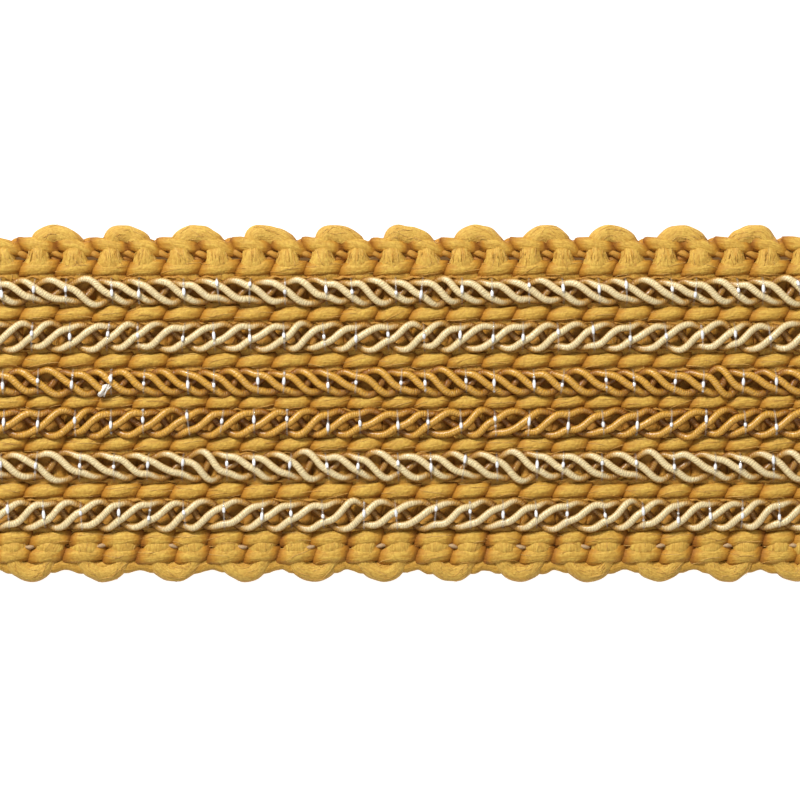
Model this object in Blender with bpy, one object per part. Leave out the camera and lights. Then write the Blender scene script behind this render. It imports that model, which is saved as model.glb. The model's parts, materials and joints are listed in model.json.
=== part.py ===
"""Braid trim: a cut length of woven gold braid with scalloped edges and six twisted gimp cords.

The braid lies flat on its back. X runs along its length, Y across its width, Z up from the back.
The ground tape is one woven piece. Each cord is three plain gimp strands plied around each other,
so every strand is a piece of its own and the open eyes between the strands are real.
"""

import math

import bmesh
import bpy

MM = 0.001  # every size below is in millimetres

# Driving sizes
WIDTH = 35.0  # over the scallops
PICK = 3.4  # one weft pick to the next, along the braid
PICKS = 24  # picks in this cut length
LENGTH = PICK * PICKS
FIRST_SEAM = -39.56  # where the warp yarns first dip between two picks, on the middle row
SLANT = 0.039  # how far the picks lean along X for each step in Y
GAP = 0.3  # kept between pieces that touch on the real braid

# Ground tape
TROUGH = 1.0  # its thickness below a cord
SEAM_SHARE = 0.4  # how much of a warp yarn's height is left where it dips between picks
SEAM_NARROWING = 0.28  # how much narrower the yarn is there
YARN_FLAT = 0.45  # the flat of a warp yarn's crown, as a share of its width
YARN_UNEVEN = 0.05  # how much a yarn's height wanders
COLUMNS = (0.0, 0.28, 0.72)  # places along one pick, from one seam to the next
EDGE_INSET = 0.3  # the back's outline lies this far inside the scallops
RIM_HEIGHT = 0.75  # where the scalloped edge is widest

# Scallops: every second pick the weft yarn turns back in a proud loop
SCALLOP_PERIOD = 2 * PICK
SCALLOP_DEPTH = 1.45
SCALLOP_SPAN = 0.72  # a loop's width, as a share of the period
SCALLOP_LOW = 0.12  # how far the edge stands out between two loops, as a share of the depth
SCALLOP_BASE = 1.3  # height of the edge between two loops
SCALLOP_CROWN = 1.75  # height of a loop
SCALLOP_SET_BACK = 0.75  # from a loop's outer edge to its crown
LOOP_AT = {1: -33.7, -1: -35.3}  # a loop's middle on the +Y edge and on the -Y edge

# Gimp cords
STRANDS = 3
STRAND_RADIUS = 0.36
STRAND_RISE = 0.64  # half the height that a strand's centre climbs and falls
STRAND_STEPS = 7  # places worked out along one turn
REACH_UNEVEN = 0.05  # how much the reach wanders, as a share
END_CLEARANCE = 0.3  # the strands stop this far inside the cut ends
CORD_CENTRE = TROUGH + GAP + STRAND_RADIUS + STRAND_RISE

# The visible rows of warp yarn, from the +Y edge to the -Y edge
WARP_ROWS = (
    # y, half width, crown height
    (15.25, 0.75, 1.95),
    (13.05, 0.80, 2.15),
    (8.60, 0.68, 2.20),
    (4.05, 0.66, 2.20),
    (0.00, 0.62, 2.20),
    (-4.08, 0.66, 2.20),
    (-8.65, 0.68, 2.20),
    (-13.25, 0.66, 2.15),
    (-14.95, 0.75, 1.95),
)

# The cords, from the +Y edge to the -Y edge. The hand is 1 where the upper strand runs down to the
# right and -1 where it runs up to the right. A turn is one full twist, crossing is a place where
# a strand crosses over the cord's middle, and reach is from there out to a strand's middle.
CORDS = (
    # name, y, hand, turn, crossing, reach, colour
    ("cord_1", 10.72, 1, 7.37, -36.1, 0.94, "cream"),
    ("cord_2", 6.34, -1, 8.08, -38.7, 1.13, "cream"),
    ("cord_3", 1.88, 1, 6.76, -34.8, 0.95, "old_gold"),
    ("cord_4", -2.04, -1, 8.42, -41.2, 1.05, "old_gold"),
    ("cord_5", -6.27, 1, 7.89, -34.2, 1.03, "cream"),
    ("cord_6", -11.00, -1, 8.52, -40.2, 1.18, "cream"),
)

# Eyes that stand wider open than the rest
WIDE_EYES = (
    # cord, x, extra share of the reach
    ("cord_1", -9.7, 0.12),
    ("cord_1", 37.7, 0.12),
    ("cord_3", -33.8, 0.12),
    ("cord_3", 31.3, 0.16),
    ("cord_4", 28.5, 0.10),
    ("cord_5", -33.5, 0.32),
    ("cord_5", -18.5, 0.24),
    ("cord_5", -9.2, 0.24),
    ("cord_5", 11.4, 0.32),
    ("cord_5", 24.8, 0.22),
    ("cord_5", 37.9, 0.20),
)
WIDE_EYE_SPAN = 1.5

COLOURS = {
    # linear red, green, blue; roughness
    "gold": ((0.62, 0.34, 0.065), 0.6),
    "cream": ((0.72, 0.55, 0.31), 0.45),
    "old_gold": ((0.55, 0.26, 0.055), 0.5),
}


def clear_scene():
    for obj in list(bpy.data.objects):
        bpy.data.objects.remove(obj, do_unlink=True)


def yarn_material(name):
    """A plain yarn material of the named colour."""
    material = bpy.data.materials.new(name)
    material.use_nodes = True
    shader = material.node_tree.nodes["Principled BSDF"]
    colour, roughness = COLOURS[name]
    shader.inputs["Base Color"].default_value = (*colour, 1.0)
    shader.inputs["Roughness"].default_value = roughness
    shader.inputs["Metallic"].default_value = 0.0
    return material


def unevenness(x, y):
    """A smooth wobble between about -1 and 1 that is the same each run, for woven irregularity."""
    return 0.6 * math.sin(1.9 * x + 2.3 * y) + 0.4 * math.sin(0.73 * x - 1.7 * y + 1.0)


def column_places():
    """The places along X where the ground's shape is worked out, with the cut ends."""
    half = LENGTH / 2
    shortest = COLUMNS[1] * PICK / 4
    places = [-half]
    for pick in range(-2, PICKS + 2):
        for share in COLUMNS:
            x = FIRST_SEAM + (pick + share) * PICK
            if abs(x) < half - shortest:
                places.append(x)
    return places + [half]


def leaning(x, y):
    """A column's place at height y across the braid: leaning inside, straight at the cut ends."""
    inside = min(1.0, (LENGTH / 2 - abs(x)) / PICK)
    return x - SLANT * y * inside


def fullness(x):
    """0 at a seam between two picks, 1 in the middle of a pick."""
    share = ((x - FIRST_SEAM) / PICK) % 1.0
    return math.sqrt(4 * share * (1 - share))


def loop_stand(x, side):
    """How far a scalloped edge stands out at x: 1 on a loop's top, little between the loops."""
    share = ((x - LOOP_AT[side]) / SCALLOP_PERIOD + 0.5) % 1.0 - 0.5
    bump = max(0.0, 1 - (2 * share / SCALLOP_SPAN) ** 2)
    return max(math.sqrt(bump), SCALLOP_LOW)


def edge_y(x, side):
    """The braid's outline on one side: +1 for the +Y edge, -1 for the -Y edge."""
    return side * (WIDTH / 2 - SCALLOP_DEPTH * (1 - loop_stand(x, side)))


def edge_lines(side):
    """The ground's lines along one scalloped edge, from the back's outline up to the crown."""

    def back(x):
        return edge_y(x, side) - side * EDGE_INSET, 0.0

    def rim(x):
        return edge_y(x, side), RIM_HEIGHT

    def crown(x):
        height = SCALLOP_BASE + (SCALLOP_CROWN - SCALLOP_BASE) * loop_stand(x, side)
        return edge_y(x, side) - side * SCALLOP_SET_BACK, height

    return [back, rim, crown]


def warp_line(row, across):
    """One line of a warp row. Across runs from -1, the row's +Y side, over its crown to 1."""
    middle, half_width, crown = WARP_ROWS[row]

    def line(x):
        full = fullness(x)
        width = half_width * (1 - SEAM_NARROWING * (1 - full))
        height = (crown - TROUGH) * (SEAM_SHARE + (1 - SEAM_SHARE) * full)
        height += YARN_UNEVEN * unevenness(x, middle)
        return middle - across * width, TROUGH + height * math.sqrt(1 - across * across)

    return line


def ground_lines():
    """Every line that runs along the braid, from the +Y edge of the back over the face."""
    lines = edge_lines(1)
    for row in range(len(WARP_ROWS)):
        lines += [warp_line(row, across) for across in (-1, -YARN_FLAT, YARN_FLAT, 1)]
    return lines + edge_lines(-1)[::-1]


def make_ground(material):
    """The woven tape: warp yarns plump over each pick, flat below the cords, scalloped edges."""
    mesh = bmesh.new()
    rows = []
    for x in column_places():
        row = []
        for line in ground_lines():
            y, z = line(x)
            row.append(mesh.verts.new((leaning(x, y) * MM, y * MM, z * MM)))
        rows.append(row)
    for here, there in zip(rows, rows[1:]):
        for i in range(len(here) - 1):
            mesh.faces.new((here[i], here[i + 1], there[i + 1], there[i]))
    mesh.faces.new(rows[0][::-1])
    mesh.faces.new(rows[-1])
    mesh.faces.new([row[0] for row in rows] + [row[-1] for row in rows[::-1]])
    bmesh.ops.recalc_face_normals(mesh, faces=mesh.faces)
    data = bpy.data.meshes.new("ground")
    mesh.to_mesh(data)
    mesh.free()
    data.materials.append(material)
    bpy.context.scene.collection.objects.link(bpy.data.objects.new("ground", data))


def eye_opening(name, x, y):
    """How much wider than usual a cord's strands spread at x."""
    opening = 1 + REACH_UNEVEN * unevenness(x, y)
    for cord, place, extra in WIDE_EYES:
        if cord == name:
            opening += extra * math.exp(-(((x - place) / WIDE_EYE_SPAN) ** 2))
    return opening


def strand_points(name, y, hand, turn, crossing, reach):
    """The centre line of one strand: a flattened helix that is highest where it crosses over."""
    start = -LENGTH / 2 + END_CLEARANCE
    run = -2 * start
    steps = round(run / turn * STRAND_STEPS)
    points = []
    for step in range(steps + 1):
        x = start + run * step / steps
        angle = math.tau * (x - crossing) / turn
        spread = reach * eye_opening(name, x, y)
        aside = -hand * spread * math.sin(angle)
        height = CORD_CENTRE + STRAND_RISE * math.cos(angle)
        points.append((x, y + aside, height))
    return points


def make_strand(name, points, material):
    """A strand as a round tube along its centre line, with flat cut ends."""
    curve = bpy.data.curves.new(name, "CURVE")
    curve.dimensions = "3D"
    curve.bevel_depth = STRAND_RADIUS * MM
    curve.bevel_resolution = 0
    curve.use_fill_caps = True
    spline = curve.splines.new("POLY")
    spline.points.add(len(points) - 1)
    for place, (x, y, z) in zip(spline.points, points):
        place.co = (x * MM, y * MM, z * MM, 1.0)
    curve.materials.append(material)
    bpy.context.scene.collection.objects.link(bpy.data.objects.new(name, curve))


def make_cord(name, y, hand, turn, crossing, reach, material):
    """Three strands, each a third of a turn further along than the one before it."""
    for number in range(STRANDS):
        place = crossing + turn * number / STRANDS
        points = strand_points(name, y, hand, turn, place, reach)
        make_strand(f"{name}_strand_{'abc'[number]}", points, material)


def main():
    clear_scene()
    materials = {name: yarn_material(name) for name in COLOURS}
    make_ground(materials["gold"])
    for name, y, hand, turn, crossing, reach, colour in CORDS:
        make_cord(name, y, hand, turn, crossing, reach, materials[colour])


main()
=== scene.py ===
# %% [markdown]
# # Woven gold braid trim with six twisted gimp cords
#
# This lesson dresses the plain CAD model of a braid trim. The real trim is a narrow woven band.
# A thick soft weft yarn runs to and fro across it and turns back at both edges in proud loops.
# Pairs of gold warp yarns twist around each other along the band and hold every weft pick.
# Between the warp rows lie six cords, each of three gimp strands plied together, and a clear
# thread stitches each cord down.
#
# The frame is loaded first. Everything built here sits on it, in metres, in the same axes.

import json
import math

import bpy
import numpy as np
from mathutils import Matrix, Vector

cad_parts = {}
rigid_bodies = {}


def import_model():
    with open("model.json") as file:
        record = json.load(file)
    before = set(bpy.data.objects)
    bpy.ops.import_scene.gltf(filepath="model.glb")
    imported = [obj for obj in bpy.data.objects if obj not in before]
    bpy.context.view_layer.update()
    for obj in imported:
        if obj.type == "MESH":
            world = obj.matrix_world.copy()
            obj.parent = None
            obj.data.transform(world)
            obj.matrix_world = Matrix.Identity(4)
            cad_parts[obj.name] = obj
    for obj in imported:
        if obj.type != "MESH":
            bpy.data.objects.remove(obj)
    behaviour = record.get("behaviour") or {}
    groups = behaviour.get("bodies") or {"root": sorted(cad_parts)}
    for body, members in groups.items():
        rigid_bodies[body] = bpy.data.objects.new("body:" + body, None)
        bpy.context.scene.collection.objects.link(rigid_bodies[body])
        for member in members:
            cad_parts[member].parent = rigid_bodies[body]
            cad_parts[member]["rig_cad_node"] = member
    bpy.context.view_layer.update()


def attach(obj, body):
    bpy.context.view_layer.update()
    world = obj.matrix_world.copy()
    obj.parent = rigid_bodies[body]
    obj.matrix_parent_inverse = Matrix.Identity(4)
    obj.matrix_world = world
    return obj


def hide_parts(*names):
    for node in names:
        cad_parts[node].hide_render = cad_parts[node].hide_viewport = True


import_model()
bpy.ops.object.select_all(action="DESELECT")
MM = 0.001

# %% [markdown]
# ## From the photo to real sizes
#
# The photo looks straight down, so a place in it turns into a place on the braid with one scale.
# The places of crossings, stitches and seams below were read off the photo, in pixels,
# because no two repeats of a woven trim are quite alike. These helpers turn them into millimetres.

# %% Scale of the photo
PIXEL = 0.0972  # millimetres of braid in one pixel of the photo
MIDDLE_COLUMN = 400  # the photo's column at X = 0
MIDDLE_ROW = 402  # the photo's row at Y = 0
HALF_LENGTH = 40.8  # half the cut length of the braid
PICK = 3.4  # one weft pick to the next


def along(column):
    """The X of a column of the photo."""
    return (np.asarray(column, float) - MIDDLE_COLUMN) * PIXEL


def across(row):
    """The Y of a row of the photo."""
    return (MIDDLE_ROW - np.asarray(row, float)) * PIXEL


print("the photo shows", round(float(along(800) - along(0)), 1), "mm of the braid")

# %% [markdown]
# ## Where each warp row dips
#
# In every warp row two yarns take turns on the face. Where they swap there is a dark slanted
# seam. The seams were read row by row, so that the picks lean and wander as on the real trim.
# Rows between two measured ones take the mean of their neighbours.

# %% Seams of the warp rows
SEAMS_READ = {
    "edge_top": (19, 55, 92, 127, 158, 198, 233, 270, 304, 341, 373, 409,
                 443, 478, 513, 547, 578, 614, 647, 683, 718, 752, 786),
    "inner_top": (20, 56, 93, 128, 162, 200, 237, 272, 305, 341, 375, 412,
                  446, 480, 515, 548, 581, 615, 650, 684, 718, 752, 788),
    "row_1": (21, 56, 94, 126, 165, 202, 236, 272, 309, 342, 377, 411,
              448, 483, 515, 549, 585, 617, 651, 686, 720, 752, 788),
    "row_3": (26, 62, 98, 133, 170, 207, 240, 275, 311, 349, 383, 416,
              450, 485, 516, 553, 586, 623, 660, 692, 728, 762, 795),
    "row_5": (25, 65, 103, 138, 172, 208, 243, 278, 312, 350, 383, 418,
              455, 488, 521, 555, 590, 626, 660, 692, 728, 762, 797),
    "inner_foot": (30, 70, 102, 142, 173, 209, 243, 281, 311, 349, 382, 416,
                   454, 487, 522, 557, 586, 626, 662, 695, 729, 765, 795),
    "edge_foot": (29, 63, 104, 137, 176, 208, 245, 278, 315, 347, 380, 417,
                  452, 485, 522, 553, 589, 624, 662, 692, 730, 762, 798),
}
SPARE_PICKS = 2  # extra seams beyond the photo's sides, so that the rows reach the cut ends


def carried_on(places, step, count):
    """A list of places, carried on past both of its ends by a number of equal steps."""
    before = places[0] - step * np.arange(count, 0, -1)
    after = places[-1] + step * np.arange(1, count + 1)
    return np.concatenate([before, places, after])


SEAMS = {name: carried_on(along(seams), PICK, SPARE_PICKS) for name, seams in SEAMS_READ.items()}
SEAMS["row_2"] = (SEAMS["row_1"] + SEAMS["row_3"]) / 2
SEAMS["row_4"] = (SEAMS["row_3"] + SEAMS["row_5"]) / 2
WARP_ROWS = (
    # name, y, half width, crown height, lean of the seams
    ("edge_top", 15.28, 0.70, 1.88, -0.8),
    ("inner_top", 13.02, 0.72, 2.08, 0.7),
    ("row_1", 8.60, 0.72, 2.20, 1.0),
    ("row_2", 4.05, 0.70, 2.20, 1.0),
    ("row_3", 0.00, 0.64, 2.20, 0.6),
    ("row_4", -4.08, 0.70, 2.20, 0.9),
    ("row_5", -8.65, 0.72, 2.20, 1.0),
    ("inner_foot", -13.25, 0.74, 2.15, 0.3),
    ("edge_foot", -14.86, 0.80, 1.98, 0.5),
)
ROW_Y = np.array([row[1] for row in WARP_ROWS])
SEAM_GRID = np.array([SEAMS[row[0]] for row in WARP_ROWS])
print("warp rows:", len(WARP_ROWS), "with", SEAM_GRID.shape[1], "seams each")

# %% [markdown]
# ## One helper for every yarn
#
# All yarns here are the same kind of thing: a flattened round section carried along a path.
# The helper below makes that skin from a list of centre points and the half width and half
# thickness at each point. A curve object with a bevel would do for a round cord, but it can't
# swell and flatten as soft yarn does, so the rings are laid in mesh code. The same helper writes
# two UV maps. The one named yarn runs along and around the yarn in millimetres, for the fibres.
# The one named OFBake lays the skin out flat in the unit square without overlaps.
# It also stores an attribute named depth, 0 deep in the weave and 1 on the crowns. The finishes
# turn it into painted shade, and on the clear thread into a painted glint.

# %% The yarn helper
UP = np.array((0.0, 0.0, 1.0))
SIDEWAYS = np.array((0.0, 1.0, 0.0))


def unit(vectors):
    return vectors / np.linalg.norm(vectors, axis=-1, keepdims=True)


def tangents(path):
    return unit(np.gradient(path, axis=0))


def arc_of(path):
    steps = np.linalg.norm(np.diff(path, axis=0), axis=1)
    return np.concatenate([[0.0], np.cumsum(steps)])


def around(sides):
    """The angles of the points of a ring."""
    return math.tau * np.arange(sides) / sides


def rings(path, half_wide, half_thick, sides, fixed_side=None, turn=None, swell=1.0):
    """Rings of points round a path. Ring angle 0 points down, so the UV seam lies below."""
    ahead = tangents(path)
    if fixed_side is None:
        side = unit(np.cross(UP, ahead))
    else:
        side = unit(fixed_side - (ahead * fixed_side).sum(axis=1, keepdims=True) * ahead)
    lift = np.cross(ahead, side)
    wide = np.broadcast_to(half_wide, len(path))[:, None]
    thick = np.broadcast_to(half_thick, len(path))[:, None]
    out_side = np.sin(around(sides)) * wide * swell
    out_lift = -np.cos(around(sides)) * thick * swell
    if turn is not None:
        cos, sin = np.cos(turn)[:, None], np.sin(turn)[:, None]
        out_side, out_lift = cos * out_side - sin * out_lift, sin * out_side + cos * out_lift
    return (path[:, None, :] + out_side[..., None] * side[:, None, :]
            + out_lift[..., None] * lift[:, None, :])


LUMP_WAVES = 7  # waves that are added up
LUMP_TOTAL = 2.6  # what they usually add up to


def lumps(arc, sides, seed, size, wave=1.4):
    """Soft unevenness over a yarn's skin: waves of chance length, the same at each run."""
    chance = np.random.default_rng(seed)
    total = np.zeros((len(arc), sides))
    for _ in range(LUMP_WAVES):
        turns = int(chance.integers(0, 4))
        length = wave * chance.uniform(0.5, 2.0)
        shift = chance.uniform(0, math.tau)
        total += np.sin(math.tau * arc[:, None] / length + turns * around(sides) + shift)
    return 1 + size * total / LUMP_TOTAL


RIDGE_COUNTS = (5, 8, 10)  # grooves round a yarn
RIDGE_TWIST = 9.0  # mm in which the grooves run once round the yarn
RIDGE_UNEVEN = (0.6, 1.6)  # each set's own twist varies between these shares of it
RIDGE_BEND = 0.9  # how far the grooves waver round the yarn, as an angle
RIDGE_BENDS = (1.6, 4.0)  # mm from one wave of that to the next
RIDGE_GAIN = 1.6
# GROOVE_SHADE paints shade into the grooves between filaments.
GROOVE_SHADE = 3.0  # how much darker a groove is, for each share of its depth


def ridges(arc, sides, seed, size):
    """Shallow grooves between a yarn's filaments. They run along it with a slight twist."""
    chance = np.random.default_rng(seed)
    total = np.zeros((len(arc), sides))
    for count in RIDGE_COUNTS:
        length = RIDGE_TWIST * chance.uniform(*RIDGE_UNEVEN) * chance.choice((-1, 1))
        waves = math.tau * arc / chance.uniform(*RIDGE_BENDS) + chance.uniform(0, math.tau)
        along_yarn = math.tau * arc / length + RIDGE_BEND * np.sin(waves)
        total += np.sin(count * around(sides) + along_yarn[:, None])
    return 1 + size * total / len(RIDGE_COUNTS) * RIDGE_GAIN


QUAD_ALONG = np.array((0, 0, 1, 1))  # the four corners of a quad, along the yarn
QUAD_ROUND = np.array((0, 1, 1, 0))  # and round it
TILE_STATIONS = 60  # about this many rings for each tile row of the flat map
TILE_MARGIN = 0.02
CAP_CORNER = 0.999  # the flat map's place of the cut ends


def skin(shells, name):
    """One mesh object from shells. A shell is its rings, its arc lengths and its depths."""
    points, quads, caps, flat_uv, yarn_uv, depths = [], [], [], [], [], []
    ring_total = sum(len(shell[0]) for shell in shells)
    tile_rows = math.ceil(math.sqrt(ring_total / TILE_STATIONS))
    tile_length = math.ceil((ring_total + len(shells)) / tile_rows)
    start = placed = 0
    for ring_set, arc, depth in shells:
        count, sides, _ = ring_set.shape
        points.append(ring_set.reshape(-1, 3))
        depths.append(np.broadcast_to(depth, (count, sides)).reshape(-1))
        steps = np.linalg.norm(ring_set[:, 1:] - ring_set[:, :-1], axis=2)
        girth = float(steps.mean() * sides)
        here, turn = np.meshgrid(np.arange(count - 1), np.arange(sides), indexing="ij")
        along_yarn = here.reshape(-1, 1) + QUAD_ALONG
        round_yarn = turn.reshape(-1, 1) + QUAD_ROUND
        quads.append(start + along_yarn * sides + round_yarn % sides)
        tile, inside = np.divmod(placed + here.reshape(-1, 1), tile_length)
        column = tile + TILE_MARGIN + (1 - 2 * TILE_MARGIN) * round_yarn / sides
        flat_uv.append(np.stack([column / tile_rows, (inside + QUAD_ALONG) / tile_length], axis=-1))
        yarn_uv.append(np.stack([round_yarn / sides * girth, arc[along_yarn]], axis=-1))
        first_ring = np.arange(start, start + sides)
        caps += [first_ring[::-1].tolist(), (first_ring + (count - 1) * sides).tolist()]
        placed += count
        start += count * sides
    quads = np.concatenate(quads).tolist()
    data = bpy.data.meshes.new(name)
    data.from_pydata((np.concatenate(points) * MM).tolist(), [], quads + caps)
    for map_name, uv, cap_value in (("OFBake", flat_uv, CAP_CORNER), ("yarn", yarn_uv, 0.0)):
        coordinates = np.full((len(data.loops), 2), cap_value, np.float32)
        coordinates[:len(quads) * 4] = np.concatenate(uv).reshape(-1, 2)
        data.uv_layers.new(name=map_name).data.foreach_set("uv", coordinates.ravel())
    attribute = data.attributes.new("depth", "FLOAT", "POINT")
    attribute.data.foreach_set("value", np.concatenate(depths).astype(np.float32))
    data.polygons.foreach_set("use_smooth", [True] * len(quads) + [False] * len(caps))
    data.validate()
    piece = bpy.data.objects.new(name, data)
    bpy.context.scene.collection.objects.link(piece)
    return piece


def triangles(piece):
    return sum(len(face.vertices) - 2 for face in piece.data.polygons)


def make_piece(name, shells, finish, slot_name, *nodes):
    """A piece with its finish in a material slot, its body and the nodes that it replaces.
    slot_name is not used.
    """
    piece = skin(shells, name)
    piece.data.materials.append(finish)
    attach(piece, "root")
    if nodes:
        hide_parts(*nodes)
    print(name, "has", triangles(piece), "triangles")
    return piece


print("yarn helper ready")

# %% [markdown]
# ## Fibres as a shared effect
#
# Soft yarn shows fine filaments that run along it, with paler and darker streaks. Every yarn
# here uses the same effect with its own values, so it is a node group. It stretches noise along
# the yarn by means of the map named yarn. It puts out a streak mask and a height for a bump.

# %% Node helpers and the fibre group
def set_inputs(tree, node, inputs):
    """Sets a node's inputs to constants, or links them where a value is another node's output."""
    for label, value in inputs.items():
        if isinstance(value, (int, float, tuple)):
            node.inputs[label].default_value = value
        else:
            tree.links.new(value, node.inputs[label])


def add_node(tree, kind, inputs, **settings):
    """The outputs of a new shader node. It is placed to the right of the one before it."""
    node = tree.nodes.new("ShaderNode" + kind)
    node.location = (200 * len(tree.nodes), 0)
    for key, value in settings.items():
        setattr(node, key, value)
    set_inputs(tree, node, inputs)
    return node.outputs


def calc(tree, operation, *values):
    """The result of one sum. The values are numbers or other nodes' outputs."""
    return add_node(tree, "Math", dict(enumerate(values)), operation=operation)[0]


def noise(tree, place, scale, detail, roughness=0.5):
    return add_node(tree, "TexNoise", {"Vector": place, "Scale": scale, "Detail": detail,
                                       "Roughness": roughness}, noise_dimensions="2D")["Fac"]


def new_group(name, values, results):
    """An empty group. It takes the yarn map and the named values, and gives the named results."""
    group = bpy.data.node_groups.new(name, "ShaderNodeTree")
    sockets = group.interface
    sockets.new_socket("Yarn map", in_out="INPUT", socket_type="NodeSocketVector")
    for label, value in values.items():
        socket = sockets.new_socket(label, in_out="INPUT", socket_type="NodeSocketFloat")
        socket.default_value = value
    for label in results:
        sockets.new_socket(label, in_out="OUTPUT", socket_type="NodeSocketFloat")
    given = group.nodes.new("NodeGroupInput")
    return group, given.outputs


def end_group(group, results):
    """Links the group's results to its output node."""
    made = group.nodes.new("NodeGroupOutput")
    made.location = (200 * len(group.nodes), 0)
    set_inputs(group, made, results)


SPECKLE_RELIEF = 1.3  # how much the speckle adds to the height, beside the streaks

fibre_group, given = new_group("fibres", {"Fineness": 9.0, "Length": 1.6, "Waviness": 0.15},
                               ("Streaks", "Patches", "Speckle", "Height"))
tree = fibre_group
yarn_map = given["Yarn map"]
swing = calc(tree, "SUBTRACT", noise(tree, yarn_map, 0.9, 1.0), 0.5)
swing = calc(tree, "MULTIPLY", swing, given["Waviness"])
parts = add_node(tree, "SeparateXYZ", {0: yarn_map})
fine_round = calc(tree, "MULTIPLY", calc(tree, "ADD", parts["X"], swing), given["Fineness"])
fine_along = calc(tree, "DIVIDE", parts["Y"], given["Length"])
drawn_out = add_node(tree, "CombineXYZ", {"X": fine_round, "Y": fine_along})[0]
streaks = noise(tree, drawn_out, 1.0, 3.0, roughness=0.6)
speckle = noise(tree, yarn_map, 3.6, 2.0)
end_group(tree, {"Streaks": streaks, "Patches": noise(tree, yarn_map, 0.55, 2.0),
                 "Speckle": speckle,
                 "Height": calc(tree, "MULTIPLY_ADD", speckle, SPECKLE_RELIEF, streaks)})
print("groups:", [group.name for group in bpy.data.node_groups])

# %% [markdown]
# ## The gold yarn's finish
#
# The gold yarn is a soft, slightly lustrous filament yarn. Its crowns are a bright straw gold.
# Where a yarn dives into the weave, light only reaches the eye after many bounces between gold
# fibres, so the colour turns a deep orange brown. A path tracer finds part of that by itself.
# The rest is painted into the colour as shade, by the attribute named depth. Streaks along the
# yarn, soft patches and a fine speckle from the fibre group vary it.

# %% Gold yarn finish
STREAK_SHADE = 0.46  # how far a streak is mixed towards the darker shade
PATCH_SHADE = 0.18
FLECK_SHADE = 0.34
YARN_RELIEF = 0.00008  # metres
YARN_ROUGHNESS = 0.6


def linear(red, green, blue):
    """A colour given as 0 to 255 turned into the linear values that shaders use."""
    return tuple(((value / 255 + 0.055) / 1.055) ** 2.4 if value > 10 else value / 255 / 12.92
                 for value in (red, green, blue)) + (1.0,)


def mix_colours(tree, factor, first, second):
    return add_node(tree, "Mix", {0: factor, 6: first, 7: second}, data_type="RGBA")[2]


def ramp_between(tree, value, low, high):
    """0 below low, 1 above high, and a soft rise between."""
    return add_node(tree, "MapRange", {"Value": value, "From Min": low, "From Max": high},
                    interpolation_type="SMOOTHSTEP")[0]


def new_finish(name):
    """A new material, its node tree and its shader."""
    finish = bpy.data.materials.new(name)
    finish.use_nodes = True
    return finish, finish.node_tree, finish.node_tree.nodes["Principled BSDF"]


def yarn_effect(tree, group, **values):
    """The outputs of one of the shared groups, fed with the map named yarn."""
    uv = add_node(tree, "UVMap", {}, uv_map="yarn")[0]
    return add_node(tree, "Group", {"Yarn map": uv, **values}, node_tree=group)


def painted_shade_by_depth(tree, bright, mid, deep, full_height):
    """Painted shade: deep in the hollows and bright on the crowns, by the attribute named depth."""
    depth = add_node(tree, "Attribute", {}, attribute_name="depth")["Fac"]
    low = ramp_between(tree, depth, 0.0, 0.55)
    high = ramp_between(tree, depth, 0.45, full_height)
    shade = mix_colours(tree, low, linear(*deep), linear(*mid))
    return mix_colours(tree, high, shade, linear(*bright))


def relief(tree, height, strength, distance):
    return add_node(tree, "Bump", {"Height": height, "Strength": strength,
                                   "Distance": distance})["Normal"]


def yarn_finish(name, bright, mid, deep, fineness, length, bump):
    """A filament yarn: painted shade from bright crowns to deep hollows, streaks and a fine bump.
    """
    finish, tree, shader = new_finish(name)
    fibres = yarn_effect(tree, fibre_group, Fineness=fineness, Length=length)
    shade = painted_shade_by_depth(tree, bright, mid, deep, 1.0)
    darker = mix_colours(tree, 0.5, linear(*deep), linear(*mid))
    streak = ramp_between(tree, fibres["Streaks"], 0.32, 0.68)
    streak = calc(tree, "MULTIPLY_ADD", streak, -STREAK_SHADE, STREAK_SHADE)
    shade = mix_colours(tree, streak, shade, darker)
    patch = ramp_between(tree, fibres["Patches"], 0.3, 0.7)
    patch = calc(tree, "MULTIPLY", patch, PATCH_SHADE)
    shade = mix_colours(tree, patch, shade, linear(*mid))
    fleck = ramp_between(tree, fibres["Speckle"], 0.36, 0.56)
    fleck = calc(tree, "MULTIPLY_ADD", fleck, -FLECK_SHADE, FLECK_SHADE)
    shade = mix_colours(tree, fleck, shade, darker)
    set_inputs(tree, shader, {
        "Base Color": shade,
        "Normal": relief(tree, fibres["Height"], bump, YARN_RELIEF),
        "Roughness": YARN_ROUGHNESS,
        "Specular IOR Level": 0.3,
        "Sheen Weight": 0.08,
        "Sheen Roughness": 0.5,
        "Sheen Tint": linear(255, 225, 160),
    })
    return finish


gold_warp = yarn_finish("gold_warp_yarn", (232, 192, 86), (200, 142, 44), (128, 66, 10),
                        fineness=9.0, length=1.4, bump=0.7)
gold_weft = yarn_finish("gold_weft_yarn", (232, 192, 88), (200, 144, 50), (160, 96, 34),
                        fineness=8.0, length=1.8, bump=0.8)
gold_binder = yarn_finish("gold_binding_thread", (226, 180, 88), (200, 146, 58), (164, 100, 36),
                          fineness=12.0, length=0.8, bump=0.5)
gold_fibre = yarn_finish("gold_loose_fibre", (246, 210, 128), (222, 174, 84), (170, 112, 44),
                         fineness=4.0, length=0.8, bump=0.1)
print("finishes:", gold_warp.name, gold_weft.name, gold_binder.name)

# %% [markdown]
# ## The weft: one yarn to and fro
#
# The weft is a single thick yarn. It crosses the band at each pick and turns back at the edge,
# two picks to a loop, which makes the scallops. It is squeezed flat where the warp rows bind it
# and swells between them, so its section changes all the way. One long path is worked out from
# the seams, since a pick lies halfway between two of them, and the yarn helper gives it its skin.

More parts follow.
